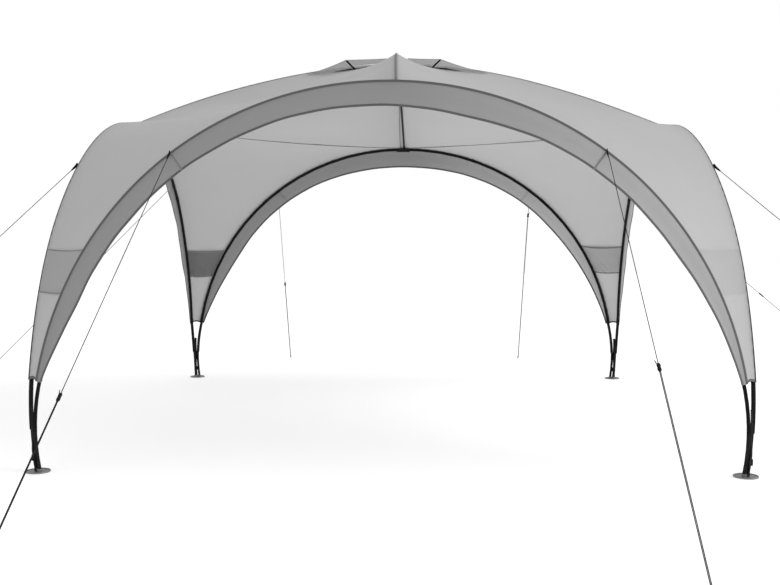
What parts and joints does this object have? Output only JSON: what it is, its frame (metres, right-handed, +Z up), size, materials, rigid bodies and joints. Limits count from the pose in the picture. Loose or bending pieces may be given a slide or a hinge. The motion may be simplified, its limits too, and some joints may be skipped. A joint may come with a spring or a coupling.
{
  "type": "party tent",
  "caption": "Square open-sided shelter: curved pole arches carry one domed cloth roof with hanging valances, corner legs on foot plates, guy ropes and pegs.",
  "frame": {"origin": "on the ground, under the crown, in the middle of the four feet", "axes": "+Z up; +X to the right and -Y to the front as the picture shows it"},
  "size_m": [7.018, 6.8534, 2.4031],
  "materials": {
    "pole_steel": "satin black coating",
    "roof_pole_glassfibre": "matt black glass fibre",
    "plate_steel": "worn zinc",
    "black_plastic": "matt moulded",
    "roof_cloth": "coated woven polyester",
    "valance_cloth": "coated woven polyester, darker",
    "black_webbing": "woven webbing",
    "guy_cord": "braided cord",
    "peg_steel": "bright wire"
  },
  "bodies": {
    "root": {"foot_plate_front_left": "plate_steel", "foot_plate_front_right": "plate_steel", "foot_plate_back_right": "plate_steel", "foot_plate_back_left": "plate_steel", "front_arch_hoop": "pole_steel", "front_arch_left_leg": "pole_steel", "front_arch_right_leg": "pole_steel", "front_apex_bracket": "black_plastic", "right_arch_hoop": "pole_steel", "right_arch_front_leg": "pole_steel", "right_arch_back_leg": "pole_steel", "right_apex_bracket": "black_plastic", "back_arch_hoop": "pole_steel", "back_arch_right_leg": "pole_steel", "back_arch_left_leg": "pole_steel", "back_apex_bracket": "black_plastic", "left_arch_hoop": "pole_steel", "left_arch_back_leg": "pole_steel", "left_arch_front_leg": "pole_steel", "left_apex_bracket": "black_plastic", "ridge_pole": "roof_pole_glassfibre", "cross_pole": "roof_pole_glassfibre", "roof_crown": "roof_cloth", "roof_corner_front_left": "roof_cloth", "roof_corner_front_right": "roof_cloth", "roof_corner_back_right": "roof_cloth", "roof_corner_back_left": "roof_cloth", "front_valance": "valance_cloth", "right_valance": "valance_cloth", "back_valance": "valance_cloth", "left_valance": "valance_cloth", "vent_hood_front_left": "roof_cloth", "vent_hood_front_right": "roof_cloth", "vent_hood_back_left": "roof_cloth", "vent_hood_back_right": "roof_cloth", "corner_strap_front_left": "black_webbing", "corner_strap_front_right": "black_webbing", "corner_strap_back_right": "black_webbing", "corner_strap_back_left": "black_webbing", "guy_rope_front_left": "guy_cord", "peg_front_left": "peg_steel", "guy_rope_front_right": "guy_cord", "peg_front_right": "peg_steel", "guy_rope_right_front": "guy_cord", "peg_right_front": "peg_steel", "guy_rope_right_back": "guy_cord", "peg_right_back": "peg_steel", "guy_rope_back_right": "guy_cord", "peg_back_right": "peg_steel", "guy_rope_back_left": "guy_cord", "peg_back_left": "peg_steel", "guy_rope_left_back": "guy_cord", "peg_left_back": "peg_steel", "guy_rope_left_front": "guy_cord", "peg_left_front": "peg_steel"}
  },
  "joints": []
}
